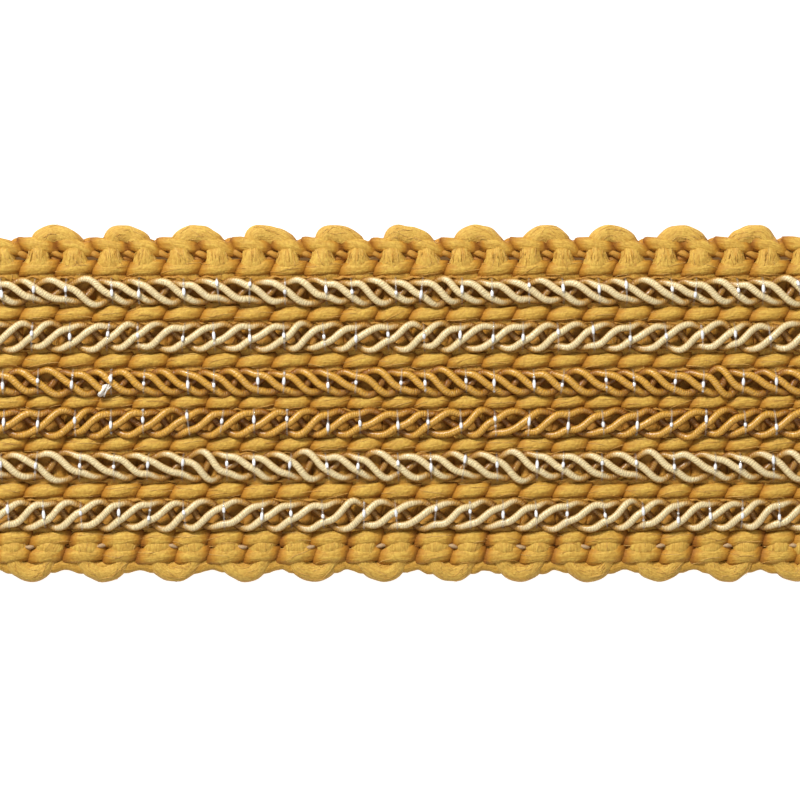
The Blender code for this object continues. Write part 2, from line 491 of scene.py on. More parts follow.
# %% Weft path
LOOP_TOP = 16.34  # the middle of the yarn at the top of a loop
LOOP_FOOT = -16.70
LOOP_BASE_TOP = 15.35  # where the yarn leaves the straight pick for the loop
LOOP_BASE_FOOT = -15.3
EDGE_ROOM = 1.3  # kept between a pick's middle and a cut end
STRAIGHT_STEPS = 96
LOOP_STEPS = 22
# how far each loop's top leans along the braid, from one edge's first loop to its last
LEAN_TOP = (0.0, -0.2, -0.5, -0.3, -0.9, -0.8, -0.8, -0.2, 0.1, -0.3, -0.2, 0.5)
LEAN_FOOT = (0.2, 0.1, 0.0, 0.2, 0.0, 0.4, 0.1, 0.0, 0.1, 0.0, 0.0, 0.5)
FOOT_FLARE = 1.2  # above 1 the foot loops run out into the edge in a soft wave
DRAWN_IN_TOP = 0.2  # how much the sides of a loop are drawn in towards each other
DRAWN_IN_FOOT = -0.02


def pick_seams(number, y):
    """X of the seams to the left and right of a pick at height y."""
    left = np.interp(y, ROW_Y[::-1], SEAM_GRID[::-1, number])
    right = np.interp(y, ROW_Y[::-1], SEAM_GRID[::-1, number + 1])
    return left, right


def pick_x(number, y):
    """X of a pick's middle at height y: halfway between its two seams."""
    left, right = pick_seams(number, y)
    limit = HALF_LENGTH - EDGE_ROOM
    return np.clip((left + right) / 2, -limit, limit)


def pick_room(number, y):
    """A pick's share of the band at height y, as a multiple of the usual pick."""
    left, right = pick_seams(number, y)
    return (right - left) / PICK


def loop_points(number, side):
    """The turn from one pick to the next at the top edge (side 1) or the foot (side -1)."""
    base, top = (LOOP_BASE_TOP, LOOP_TOP) if side > 0 else (LOOP_BASE_FOOT, LOOP_FOOT)
    left, right = float(pick_x(number, base)), float(pick_x(number + 1, base))
    lean_list = LEAN_TOP if side > 0 else LEAN_FOOT
    lean = lean_list[min(len(lean_list) - 1, number // 2)]
    angle = np.linspace(0, math.pi, LOOP_STEPS + 2)[1:-1]
    drawn_in = DRAWN_IN_TOP if side > 0 else DRAWN_IN_FOOT
    half = (right - left) / 2 * (1 - drawn_in * np.sin(angle) ** 0.5)
    x = (left + right) / 2 - half * np.cos(angle) + lean * np.sin(angle) ** 2
    reach = np.sin(angle) ** (1.0 if side > 0 else FOOT_FLARE)
    return np.stack([x, base + (top - base) * reach], axis=1)


FIRST_PICK = 1
LAST_PICK = SEAM_GRID.shape[1] - 3
weft_xy, weft_room, foot_loops = [], [], []
rising = False
for number in range(FIRST_PICK, LAST_PICK + 1):
    y = np.linspace(LOOP_BASE_FOOT, LOOP_BASE_TOP, STRAIGHT_STEPS)
    pick = np.stack([pick_x(number, y), y], axis=1)
    room = pick_room(number, y)
    weft_xy.append(pick if rising else pick[::-1])
    weft_room.append(room if rising else room[::-1])
    if number < LAST_PICK:
        weft_xy.append(loop_points(number, 1 if rising else -1))
        weft_room.append(np.ones(LOOP_STEPS))
        if not rising:
            foot_loops.append(weft_xy[-1][:, 0].mean())
    rising = not rising
weft_xy = np.concatenate(weft_xy)
weft_room = np.concatenate(weft_room)
print("weft path has", len(weft_xy), "points,", round(arc_of(weft_xy)[-1]), "mm long")

# %% [markdown]
# The section of the weft at each place comes from short tables across the band: how wide, how
# thick and how high the yarn lies there, and how much painted shade it gets, most under the cords.
# It is fat in the bare bands beside the edge rows, flat and wide below the cords, and round in the
# loops. What lies under a cord or under a warp row repeats, so those rows of the table are made by
# a loop.

# %% Weft skin
TOP_SECTIONS = (
    # y, half width, half thickness, middle height, depth of painted shade
    (17.50, 0.92, 0.72, 0.98, 1.00),
    (16.30, 0.95, 0.76, 1.02, 0.95),
    (15.85, 0.96, 0.74, 1.02, 0.90),
    (15.25, 0.98, 0.60, 0.95, 0.60),
    (14.75, 0.98, 0.84, 1.06, 0.80),
    (14.35, 1.00, 0.94, 1.18, 1.00),
    (13.85, 1.20, 0.96, 1.18, 1.00),
    (13.50, 1.46, 0.94, 1.15, 1.00),
    (13.20, 1.50, 0.93, 1.12, 1.00),
    (12.80, 1.60, 0.74, 1.00, 0.80),
    (12.25, 1.76, 0.70, 1.03, 0.80),
)
CORD_MIDDLES = (10.74, 6.37, 1.91, -2.04, -6.22, -10.98)
UNDER_A_CORD = (
    # y from the cord's middle, half width, half thickness, middle height, depth of painted shade
    (1.45, 1.76, 0.72, 1.03, 0.80),
    (0.95, 1.76, 0.61, 0.92, 0.65),
    (0.00, 1.76, 0.53, 0.85, 0.26),
    (-0.95, 1.76, 0.61, 0.92, 0.65),
    (-1.45, 1.76, 0.72, 1.03, 0.80),
)
UNDER_A_WARP_ROW = (1.62, 0.42, 0.88, 0.40)
FOOT_SECTIONS = (
    (-13.25, 1.52, 0.70, 0.98, 0.60),
    (-13.80, 1.46, 0.92, 1.16, 0.95),
    (-14.30, 1.40, 0.92, 1.14, 0.95),
    (-14.95, 1.20, 0.60, 0.95, 0.60),
    (-15.50, 0.92, 0.70, 0.96, 0.90),
    (-16.20, 0.85, 0.72, 0.92, 0.95),
    (-17.50, 0.82, 0.68, 0.86, 0.90),
)
under_cords = [(round(middle + away, 2), *section)
               for middle in CORD_MIDDLES for away, *section in UNDER_A_CORD]
under_rows = [(row[1], *UNDER_A_WARP_ROW) for row in WARP_ROWS[2:-2]]
WEFT_SECTIONS = np.array(sorted([*TOP_SECTIONS, *under_cords[1:], *under_rows, *FOOT_SECTIONS]))
WEFT_SIDES = 24
# Painted shade on the weft's flanks: its colour is darker low on them.
FLANK_LEVEL = 0.85  # up to this height the yarn's flanks are in shade
FLANK_RANGE = 0.55  # and from there they brighten over this height
FLANK_SHADE = 0.55
OPEN_ENDS = (  # where the weft's filaments spread and part, and how much deeper its grooves are
    # y, half length, factor
    (14.45, 0.35, 2.2),
    (-14.15, 0.30, 0.5),
)


def by_height(y, column):
    """One column of the weft table, read at heights y."""
    return np.interp(y, WEFT_SECTIONS[:, 0], WEFT_SECTIONS[:, column])


weft_y = weft_xy[:, 1]
weft_path = np.column_stack([weft_xy, by_height(weft_y, 3)])
weft_arc = arc_of(weft_path)
weft_wide = by_height(weft_y, 1) * weft_room
weft_ridges = ridges(weft_arc, WEFT_SIDES, seed=12, size=0.03)
for middle_y, half_length, factor in OPEN_ENDS:
    spread = factor * np.exp(-((weft_y - middle_y) / half_length) ** 2)
    weft_ridges = 1 + (weft_ridges - 1) * (1 + spread[:, None])
weft_rings = rings(weft_path, weft_wide, by_height(weft_y, 2), WEFT_SIDES,
                   swell=lumps(weft_arc, WEFT_SIDES, seed=11, size=0.04, wave=2.0) * weft_ridges)
# Painted shade: darker in the grooves, on the low flanks and under the cords and warp rows.
weft_depth = by_height(weft_y, 4)[:, None] * (1 + GROOVE_SHADE * (weft_ridges - 1))
flank = np.clip((weft_rings[..., 2] - FLANK_LEVEL) / FLANK_RANGE, 0, 1)
weft_depth = np.clip(weft_depth, 0, 1) * (FLANK_SHADE + (1 - FLANK_SHADE) * flank)
weft = make_piece("weft_yarn", [(weft_rings, weft_arc, weft_depth)], gold_weft, "gold_yarn",
                  "ground")

# %% [markdown]
# ## Warp rows: two yarns that take turns
#
# Each warp row is a pair of yarns twisted around the weft. One lies on the face over a pick
# while the other lies on the back, and between two picks they pass each other and swap. Seen
# from above that gives a row of plump pillows with slanted seams. Each yarn is swept along half
# ellipses, up and over one pick, down and under the next. It is fat on a crown, thin at a seam.
# Painted shade darkens each yarn towards its seams, and in the rows beside the edges every second
# seam is painted as a darker pit, where the next pick turns back.

# %% Warp row pieces
WARP_SIDES = 22
WARP_STEPS = 15  # places worked out on one pick
FACE_THICK = 0.52  # half thickness of a yarn on its crown
BACK_THICK = 0.36
SEAM_THICK = 0.24
SEAM_WIDE = 0.86  # a yarn's half width at a seam, as a share of the row's
SEAM_ASIDE = 0.24  # how far beside the row's middle a yarn passes, as a share of the half width
FAT_UNEVEN = 0.045
FAT_TO_WIDE = 0.8  # how much of that shows in the width
WANDER = 0.04
ROW_END_ROOM = 0.02
ROUNDNESS = 0.58  # below 1 a yarn climbs steeply at a seam and lies flatter over the pick
NOTCH_PAST_SEAM = 2.7  # the edge dips a little just after each loop of the top edge
NOTCH_SPAN = 0.5
NOTCH_DEPTH = 0.34
# PIT_SPAN and PIT_SHADES paint shade into those pits.
PIT_SPAN = 0.42  # every second seam of these rows is a dark pit, this far to each side
PIT_SHADES = {"edge_top": 0.9, "inner_foot": 0.75, "edge_foot": 0.6}
# Painted shade: the depth attribute falls from crown to seam and with height.
CROWN_SHADE = 0.92  # the depth attribute on a crown
SEAM_SHADE = 0.02  # and at a seam
DARK_LEVEL = 1.0  # a warp yarn is darkest up to this height
CROWN_MARGIN = 1.15  # and from there it brightens over its crown's height less this
BACK_LEVEL = 0.95  # below this height a warp yarn belongs to the back of the braid
BACK_SHADE = 0.5  # and there it is plain gold
SEAM_SLANT = 0.36  # how far a seam runs along the row for each step across it


def warp_yarn(row, turn_taken, seed):
    """One of a row's two yarns as rings. turn_taken is 0 or 1: which picks it lies over."""
    name, y, half_wide, crown, lean = row
    seams = SEAMS[name]
    chance = np.random.default_rng(seed)
    picks = len(seams) - 1
    share = np.linspace(0, picks, picks * WARP_STEPS + 1)
    number = np.minimum(share.astype(int), picks - 1)
    angle = math.pi * (share - number)
    left, right = seams[number], seams[number + 1]
    x = (left + right) / 2 - (right - left) / 2 * np.cos(angle)
    on_face = (number % 2) == turn_taken
    bulge = np.sin(angle)
    fat = chance.normal(1.0, FAT_UNEVEN, picks)[number]
    face_thick = SEAM_THICK + (FACE_THICK - SEAM_THICK) * bulge * fat
    back_thick = SEAM_THICK + (BACK_THICK - SEAM_THICK) * bulge
    thick = np.where(on_face, face_thick, back_thick)
    middle = (crown - FACE_THICK + BACK_THICK) / 2  # height of the yarn where it passes a seam
    climb = (crown - FACE_THICK - BACK_THICK) / 2
    z = middle + np.where(on_face, climb, -climb) * bulge ** ROUNDNESS
    aside = np.cos(angle) * np.where(on_face, -1.0, 1.0) * SEAM_ASIDE * half_wide
    aside = aside * np.sign(lean)
    wander = np.interp(share, np.arange(picks + 1), chance.normal(0, WANDER, picks + 1))
    if name == "edge_top":
        notches = seams[1::2] + NOTCH_PAST_SEAM
        near = np.exp(-((x[:, None] - notches[None, :]) / NOTCH_SPAN) ** 2).sum(axis=1)
        wander = wander - NOTCH_DEPTH * near
    wide = half_wide * (SEAM_WIDE + (1 - SEAM_WIDE) * bulge ** 0.5) * (1 + (fat - 1) * FAT_TO_WIDE)
    path = np.column_stack([x, y + aside + wander, z])
    inside = np.abs(x) < HALF_LENGTH - ROW_END_ROOM
    first, last = np.argmax(inside), len(inside) - np.argmax(inside[::-1])
    path, wide, thick = path[first:last], wide[first:last], thick[first:last]
    arc = arc_of(path)
    grooves = ridges(arc, WARP_SIDES, seed + 2, size=0.04)
    swell = lumps(arc, WARP_SIDES, seed + 1, size=0.04) * grooves
    ring_set = rings(path, wide, thick, WARP_SIDES, fixed_side=SIDEWAYS, swell=swell)
    ring_set[..., 0] += SEAM_SLANT * lean * (ring_set[..., 1] - y)
    ring_set[..., 0] = np.clip(ring_set[..., 0], -HALF_LENGTH, HALF_LENGTH)
    ring_set[..., 2] = np.maximum(ring_set[..., 2], 0.0)
    # Painted shade: darker towards the seams, low down and in the pits.
    end_shade = (CROWN_SHADE * bulge ** 1.2 + SEAM_SHADE)[first:last, None]
    height_share = (ring_set[..., 2] - DARK_LEVEL) / (crown - CROWN_MARGIN)
    depth = np.clip(height_share, 0, 1) * end_shade
    depth = np.clip(depth * (1 + GROOVE_SHADE * (grooves - 1)), 0, 1)
    if name in PIT_SHADES:
        beside = np.exp(-((ring_set[..., 0, None] - seams[1::2]) / PIT_SPAN) ** 2).sum(axis=2)
        depth = depth * (1 - PIT_SHADES[name] * beside)
    return ring_set, arc, np.where(ring_set[..., 2] < BACK_LEVEL, BACK_SHADE, depth)


WARP_SHELLS = {}
for place, row in enumerate(WARP_ROWS):
    yarns = [warp_yarn(row, turn_taken, 100 + 10 * place + turn_taken) for turn_taken in (0, 1)]
    WARP_SHELLS[row[0]] = yarns
    make_piece(f"warp_{row[0]}", yarns, gold_warp, "gold_yarn")

# %% [markdown]
# ## Gimp strands
#
# Gimp is a soft core wound closely with a fine lustrous thread, so its skin shows small ribs
# across it. Three strands ply round each other in each cord. Every place where a strand hooks
# over its cord was read off the photo, which sets the phase of each strand. The strands spread
# wider in some eyes, and those eyes and the places of the stitches were read too.

# %% Gimp crossings, eyes and stitches
CORDS = (
    # name, row of its middle, hand, half spread in mm, hook to crossing in pixels, colour
    ("cord_1", 291.5, 1, 0.94, 27, "cream"),
    ("cord_2", 336.5, -1, 1.13, -32, "cream"),
    ("cord_3", 382.4, 1, 0.95, 25, "old_gold"),
    ("cord_4", 423.0, -1, 1.08, -32, "old_gold"),
    ("cord_5", 466.0, 1, 1.03, 28, "cream"),
    ("cord_6", 515.0, -1, 1.18, -32, "cream"),
)
HOOKS = {
    "cord_1": (-8, 15, 49, 77, 103, 126, 150, 174, 202, 231, 260, 288, 319, 340, 364, 388, 413,
               432, 455, 480, 507, 533, 559, 584, 611, 636, 659, 685, 706, 728, 753, 776),
    "cord_2": (37, 63, 86, 115, 144, 168, 194, 226, 257, 290, 320, 339, 368, 394, 428, 453, 475,
               500, 531, 563, 587, 615, 640, 672, 701, 729, 757, 778),
    "cord_3": (13, 42, 67, 88, 110, 133, 153, 179, 200, 220, 248, 273, 293, 317, 346, 368, 393,
               412, 435, 459, 480, 502, 528, 547, 571, 599, 620, 638, 667, 690, 708, 737, 759,
               781),
    "cord_4": (15, 45, 78, 104, 123, 151, 184, 209, 236, 262, 293, 321, 346, 370, 403, 440, 464,
               500, 521, 555, 578, 618, 650, 680, 712, 740, 762, 788),
    "cord_5": (7, 40, 72, 101, 132, 168, 189, 220, 244, 270, 293, 322, 344, 369, 399, 422, 449,
               476, 503, 530, 557, 583, 614, 639, 675, 704, 728, 755, 778),
    "cord_6": (32, 57, 84, 108, 136, 158, 191, 216, 241, 274, 302, 332, 370, 394, 422, 455, 487,
               518, 550, 578, 613, 648, 669, 695, 720, 747, 775, 796),
}
WIDE_EYES = {
    # column of the eye, extra share of the spread
    "cord_1": ((92, 0.20), (300, 0.22), (375, 0.18), (443, 0.18), (788, 0.20)),
    "cord_2": ((25, 0.06), (690, 0.06)),
    "cord_3": ((52, 0.22), (234, 0.10), (378, 0.12), (447, 0.16), (722, 0.20)),
    "cord_4": ((60, 0.10), (484, 0.10), (693, 0.12)),
    "cord_5": ((55, 0.32), (210, 0.24), (305, 0.24), (380, 0.14), (517, 0.32), (655, 0.22),
               (690, 0.12), (790, 0.20)),
    "cord_6": ((178, 0.08), (350, 0.10)),
}
EYE_SPAN = 18  # pixels
STRANDS = 3
STITCHES = {
    "cord_1": (2, 34, 66, 112, 139, 184, 217, 250, 285, 326, 352, 396, 421, 462, 492, 529, 563,
               599, 626, 672, 695, 738, 763),
    "cord_2": (32, 70, 108, 138, 183, 214, 250, 284, 324, 356, 388, 424, 460, 493, 523, 558,
               593, 630, 666, 702, 735, 770),
    "cord_3": (3, 38, 72, 111, 144, 188, 214, 258, 284, 328, 356, 401, 425, 466, 494, 534, 562,
               606, 634, 675, 703, 743, 776),
    "cord_4": (4, 38, 75, 111, 143, 187, 222, 254, 287, 328, 360, 398, 428, 461, 495, 529, 568,
               603, 637, 671, 706, 745, 776),
    "cord_5": (1, 36, 80, 114, 148, 183, 227, 254, 290, 327, 358, 398, 431, 465, 497, 537, 563,
               602, 636, 674, 715, 740, 773),
    "cord_6": (8, 44, 81, 119, 149, 184, 224, 262, 291, 323, 364, 396, 436, 470, 503, 536, 567,
               605, 643, 678, 710, 742, 779),
}


def smooth_steps(places, x):
    """Reads a rising list of places as 0, 1, 2 ... with a smooth curve through them."""
    places = np.asarray(places, float)
    slopes = 1 / np.gradient(places)
    number = np.clip(np.searchsorted(places, x) - 1, 0, len(places) - 2)
    gap = places[number + 1] - places[number]
    t = (x - places[number]) / gap
    a, b = slopes[number] * gap, slopes[number + 1] * gap
    middle = number + t * t * (3 - 2 * t) + a * (t ** 3 - 2 * t * t + t) + b * (t ** 3 - t * t)
    outside = (t < 0) | (t > 1)
    return np.where(outside, number + t, middle)


SPARE_CROSSINGS = 9


def crossings_of(name, shift):
    """X of every crossing of a cord, carried on past the photo's sides at its mean step."""
    read = along(np.asarray(HOOKS[name]) + shift)
    return carried_on(read, (read[-1] - read[0]) / (len(read) - 1), SPARE_CROSSINGS)


CROSSINGS = {name: crossings_of(name, shift) for name, _, _, _, shift, _ in CORDS}
for name, places in CROSSINGS.items():
    print(name, "has a strand crossing every", round(float(np.diff(places).mean()), 2), "mm")

# %% [markdown]
# A strand's path is a flattened helix. It is highest where it crosses over the cord and swings
# to the cord's sides in between. The swing is a little squarer than a sine, because a strand
# runs flat along the cord's side before it hooks over, and it returns below the cord faster
# than it crosses over it. Each stitch pinches the strands together, and they spread between.

# %% Gimp strand pieces
STRAND_RADIUS = 0.37
STRAND_RISE = 0.46
CORD_HEIGHT = 2.10
SQUARENESS = 0.05  # how much flatter than a sine a strand runs along the cord's two sides
HASTE = 0.20  # how much faster a strand returns below the cord than it crosses over it
STRAND_SIDES = 12
# Painted shade of a strand: deep low down, bright higher up.
DEEP_LEVEL = 1.84  # the height up to which a strand shows its deep shade
DEEP_RANGE = 0.80  # from there up to where it is at its brightest
STRAND_STEP = 0.155
# EYE_LIGHT is painted light: it brightens the crown of a strand at the bottom of an eye.
EYE_LIGHT = 0.22  # the light that a strand gets where it shows at the bottom of an eye
STRAND_END_ROOM = 0.3  # a strand stops this far inside the cut ends
PINCH = 0.30  # how much a stitch draws the strands together
PINCH_SPAN = 0.80


def spread_at(name, x):
    """How wide a cord's strands swing at x, as a share of its usual spread."""
    total = np.ones_like(x)
    for column, extra in WIDE_EYES[name]:
        total += extra * np.exp(-((x - along(column)) / (EYE_SPAN * PIXEL)) ** 2)
    stitches = along(STITCHES[name])
    pinched = np.exp(-((x[:, None] - stitches[None, :]) / PINCH_SPAN) ** 2).sum(axis=1)
    return total * (1 + PINCH / 3 - PINCH * pinched)


def strand_path(cord, number, x):
    """The middle of one strand of a cord at the places x."""
    name, row, hand, spread, _, _ = cord
    crossings = CROSSINGS[name]
    phase = math.tau * (smooth_steps(crossings, x) - number) / STRANDS
    phase = phase - HASTE * np.sin(phase)
    swing = (np.sin(phase) + SQUARENESS * np.sin(3 * phase)) / (1 - SQUARENESS)
    wander = 0.07 * np.sin(0.9 * x + 2 * number + row) + 0.05 * np.sin(2.3 * x + row + number)
    y = float(across(row)) - hand * spread * spread_at(name, x) * swing + wander
    z = CORD_HEIGHT + STRAND_RISE * np.cos(phase)
    return np.column_stack([x, y, z])


def strand_shell(cord, number):
    limit = HALF_LENGTH - STRAND_END_ROOM
    x = np.linspace(-limit, limit, int(2 * limit / STRAND_STEP))
    path = strand_path(cord, number, x)
    arc = arc_of(path)
    swell = lumps(arc, STRAND_SIDES, seed=500 + number, size=0.025)
    ring_set = rings(path, STRAND_RADIUS, STRAND_RADIUS * 0.97, STRAND_SIDES, swell=swell)
    # Painted shade: the top of each strand is painted lighter, its sides and underside darker.
    up = -np.cos(around(STRAND_SIDES))
    depth = np.clip((ring_set[..., 2] - DEEP_LEVEL) / DEEP_RANGE, 0, 1) * (0.45 + 0.55 * up)
    below = (path[:, 2] - CORD_HEIGHT + STRAND_RISE) / STRAND_RISE
    # Painted light on the crown of the strand that shows at the bottom of an eye.
    in_eye = EYE_LIGHT * np.exp(-((below / 0.05) ** 2))
    return ring_set, arc, np.clip(depth + in_eye[:, None] * np.maximum(up, 0), 0, 1)


# %% [markdown]
# ## Gimp finish
#
# The winding is one fine thread, so its ribs are a helix: the rib pattern climbs a whole number
# of ribs in one turn round the strand, and so it meets itself at the back. The group puts out
# the ribs' height and the grain of the thread. The cream gimp and the old gold gimp use it with
# their own colours. It is shinier than the gold yarn.

# %% Gimp winding group and finishes
# RIB_SHADE paints shade into the grooves between the ribs; the grain is the thread's own tone.
RIB_SHADE = 0.48  # how far the grooves between ribs are mixed towards the deep shade
GRAIN_SHADE = 0.25
RIB_RELIEF = 0.00006  # metres

winding_group, given = new_group("gimp_winding",
                                 {"Rib width": 0.24, "Girth": 2.38, "Starts": 2.0},
                                 ("Ribs", "Threads"))
tree = winding_group
yarn_map = given["Yarn map"]
parts = add_node(tree, "SeparateXYZ", {0: yarn_map})
turns = calc(tree, "DIVIDE", parts["X"], given["Girth"])
climb = calc(tree, "MULTIPLY", turns, given["Starts"])
count = calc(tree, "DIVIDE", parts["Y"], given["Rib width"])
count = calc(tree, "ADD", count, climb)
jitter = calc(tree, "MULTIPLY", noise(tree, yarn_map, 1.3, 2.0), 2.4)
count = calc(tree, "ADD", count, jitter)
wave = calc(tree, "SINE", calc(tree, "MULTIPLY", count, math.pi))
ribs = calc(tree, "POWER", calc(tree, "ABSOLUTE", wave), 0.7)
fine = calc(tree, "MULTIPLY", count, 2.7)
drawn_out = add_node(tree, "CombineXYZ", {"X": parts["X"], "Y": fine})[0]
end_group(tree, {"Ribs": ribs, "Threads": noise(tree, drawn_out, 1.0, 2.0)})


def gimp_finish(name, bright, mid, deep, roughness):
    """Gimp: ribs of wound thread, with painted shade, pale on the crowns and browner in the
    hollows.
    """
    finish, tree, shader = new_finish(name)
    winding = yarn_effect(tree, winding_group)
    shade = painted_shade_by_depth(tree, bright, mid, deep, 0.95)
    # Painted shade in the grooves between ribs.
    groove = calc(tree, "MULTIPLY_ADD", winding["Ribs"], -RIB_SHADE, RIB_SHADE)
    grain = ramp_between(tree, winding["Threads"], 0.35, 0.65)
    grain = calc(tree, "MULTIPLY_ADD", grain, -GRAIN_SHADE, GRAIN_SHADE)
    groove = calc(tree, "MAXIMUM", groove, grain)
    set_inputs(tree, shader, {
        "Base Color": mix_colours(tree, groove, shade, linear(*deep)),
        "Normal": relief(tree, winding["Ribs"], 0.8, RIB_RELIEF),
        "Roughness": roughness,
        "Specular IOR Level": 0.5,
        "Coat Weight": 0.40,
        "Coat Roughness": 0.26,
    })
    return finish


GIMP = {
    "cream": gimp_finish("cream_gimp_winding", (252, 230, 174), (200, 149, 62), (132, 80, 26),
                         roughness=0.36),
    "old_gold": gimp_finish("old_gold_gimp_winding", (230, 174, 66), (178, 120, 34),
                            (130, 72, 16), roughness=0.38),
}

for cord in CORDS:
    for number in range(STRANDS):
        letter = "abc"[number]
        make_piece(f"gimp_{cord[0]}_{letter}", [strand_shell(cord, number)], GIMP[cord[5]],
                   f"{cord[5]}_gimp", f"{cord[0]}_strand_{letter}")

# %% [markdown]
# ## Clear stitching
#
# A clear thread holds each cord down. It goes over the cord at each stitch, through the ground
# and along the back to the next. It lies taut, so over the cord it follows the upper hull of the
# strands below it. Where it bends over the top strand a small white glint is painted on it, and it
# swells a little there. The stitches' places were read off the photo.

# %% A taut stitch
THREAD_RADIUS = 0.12
STITCH_ROOM = 0.08  # kept between a stitch's feet and the warp rows
THREAD_SIDES = 6
STITCH_POINTS = 27
BACK_HEIGHT = 0.16  # height of the thread along the back
GROUND_HEIGHT = 1.15  # the lowest that the thread lies between the strands


def stitch_feet(cord):
    """Y of a stitch's two feet: just clear of the warp rows above and below the cord."""
    middle = float(across(cord[1]))
    above = min(y - half_wide for _, y, half_wide, _, _ in WARP_ROWS if y > middle)
    below = max(y + half_wide for _, y, half_wide, _, _ in WARP_ROWS if y < middle)
    return above - STITCH_ROOM, below + STITCH_ROOM


def taut_over(cord, x):
    """The stitch over a cord at x: heights of the taut thread for a row of Y places."""
    y = np.linspace(*stitch_feet(cord), 33)
    top = np.full(len(y), GROUND_HEIGHT)
    for number in range(STRANDS):
        _, strand_y, strand_z = strand_path(cord, number, np.array([x]))[0]
        inside = STRAND_RADIUS ** 2 * 1.25 - (y - strand_y) ** 2
        top = np.maximum(top, np.where(inside > 0, strand_z + np.sqrt(np.maximum(inside, 0)), 0))
    top += THREAD_RADIUS * 0.8
    points = list(zip(y, top))
    hull = []
    for point in points:
        while len(hull) >= 2:
            (y1, z1), (y2, z2) = hull[-2], hull[-1]
            if (y2 - y1) * (point[1] - z1) - (z2 - z1) * (point[0] - y1) > 0:
                break
            hull.pop()
        hull.append(point)
    hull = np.array(hull)
    sampled = np.linspace(y[0], y[-1], STITCH_POINTS)
    height = np.interp(-sampled, -hull[:, 0], hull[:, 1])
    return np.column_stack([np.full(STITCH_POINTS, x), sampled, height])


test = taut_over(CORDS[0], float(along(34)))
print("a stitch climbs to", round(float(test[:, 2].max()), 2), "mm")

# %% [markdown]
# The clear thread is a see-through filament. It is a plain glossy surface that lets most of
# what lies under it show, through Alpha. Where the thread bends over the top strand a glint is
# painted: its attribute named depth is 1 there, and turns it opaque white, a painted highlight.

# %% Clear thread finish
clear_thread, tree, shader = new_finish("clear_stitching_thread")
# Painted glint: opaque white where the attribute named depth is high.
glint = add_node(tree, "Attribute", {}, attribute_name="depth")["Fac"]
bright_part = ramp_between(tree, glint, 0.15, 0.6)
set_inputs(tree, shader, {
    "Base Color": mix_colours(tree, bright_part, linear(232, 226, 214), linear(255, 255, 255)),
    "Alpha": calc(tree, "MULTIPLY_ADD", bright_part, 0.86, 0.14),
    "Roughness": 0.12,
    "IOR": 1.53,
    "Specular IOR Level": 0.8,
    "Coat Weight": 0.6,
})

# The glints below are painted highlights, laid by the attribute named depth.
GLINT_LENGTH = 0.29  # mm from the middle of a glint to its end
GLINT_UNEVEN = (0.55, 1.3)  # each glint's length varies between these shares of it
GLINT_PLACE = (-0.15, 0.55)  # a glint's middle, from the cord's foot side to its top side
SECOND_GLINTS = 0.45  # share of the stitches with a second, fainter glint
SECOND_PLACE = (0.65, 0.95)  # mm from the first
SECOND_LENGTH = 0.13
SECOND_BRIGHTNESS = 0.42
STITCH_SLANT = 0.06  # how much the stitches slant, left or right
STITCH_END_ROOM = 0.6  # kept free of stitches at a cut end
FOOT_HEIGHT = 0.7  # where a stitch enters the ground
FOOT_TURN = 0.1  # how far it rounds its bend onto the back


def stitching(cord):
    """One cord's stitching thread: over the cord, down, and along the back to the next stitch."""
    name = cord[0]
    places = along(STITCHES[name])
    places = carried_on(places, float(np.diff(places).mean()), 1)
    places = places[np.abs(places) < HALF_LENGTH - STITCH_END_ROOM]
    path, shine = [], []
    chance = np.random.default_rng(int(cord[1]))
    for number, x in enumerate(places):
        over = taut_over(cord, float(x))
        middle = float(across(cord[1]))
        crest = over[np.argmax(over[:, 2]), 1]
        crest = 0.5 * crest + 0.5 * middle + chance.uniform(*GLINT_PLACE)
        over[:, 0] += chance.normal(0, STITCH_SLANT) * (over[:, 1] - crest)
        length = GLINT_LENGTH * chance.uniform(*GLINT_UNEVEN)
        shining = np.exp(-(((over[:, 1] - crest) / length) ** 2))
        if chance.uniform() < SECOND_GLINTS:
            other = crest + chance.uniform(*SECOND_PLACE) * chance.choice((-1, 1))
            faint = np.exp(-(((over[:, 1] - other) / SECOND_LENGTH) ** 2))
            shining = np.maximum(shining, SECOND_BRIGHTNESS * faint)
        path.append(over)
        shine.append(shining)
        if number + 1 < len(places):
            ahead = places[number + 1]
            foot, head = over[-1, 1], over[0, 1]
            bend = BACK_HEIGHT + FOOT_TURN
            under = [(x, foot, FOOT_HEIGHT), (x, foot + FOOT_TURN, bend)]
            for share in np.linspace(0.08, 0.92, 6):
                under.append((x + (ahead - x) * share, foot + (head - foot) * share, BACK_HEIGHT))
            under += [(ahead, head - FOOT_TURN, bend), (ahead, head, FOOT_HEIGHT)]
            path.append(np.array(under))
            shine.append(np.zeros(len(under)))
    path, shine = np.concatenate(path), np.concatenate(shine)
    ahead = tangents(path)
    side = np.cross(UP, ahead)
    steep = np.linalg.norm(side, axis=1) < 0.3
    side[steep] = (-1.0, 0.0, 0.0)
    radius = THREAD_RADIUS * (0.80 + 0.75 * shine)
    ring_set = rings(path, radius, radius, THREAD_SIDES, fixed_side=side)
    return ring_set, arc_of(path), shine[:, None]


for cord in CORDS:
    make_piece(f"stitching_{cord[0]}", [stitching(cord)], clear_thread, "clear_thread")

# %% [markdown]
# ## Binding threads and the foot edge
#
# Beside each cord runs a fine two-ply gold thread that binds the ground. It is small, yet its
# slanted bits show in the shade beside the cords, and their colour is painted a little shaded. A
# flat section that turns as it goes gives the two plies. Short bits of it fill the gaps between
# picks in both bands, painted darker as shade in the gaps. In the foot band every second gap holds
# a pale bit, painted light that stands for the bright floor seen through the gap. A thicker yarn
# lies under the loops along the foot edge. It swings out between two loops, which rounds the corner
# beside each loop.

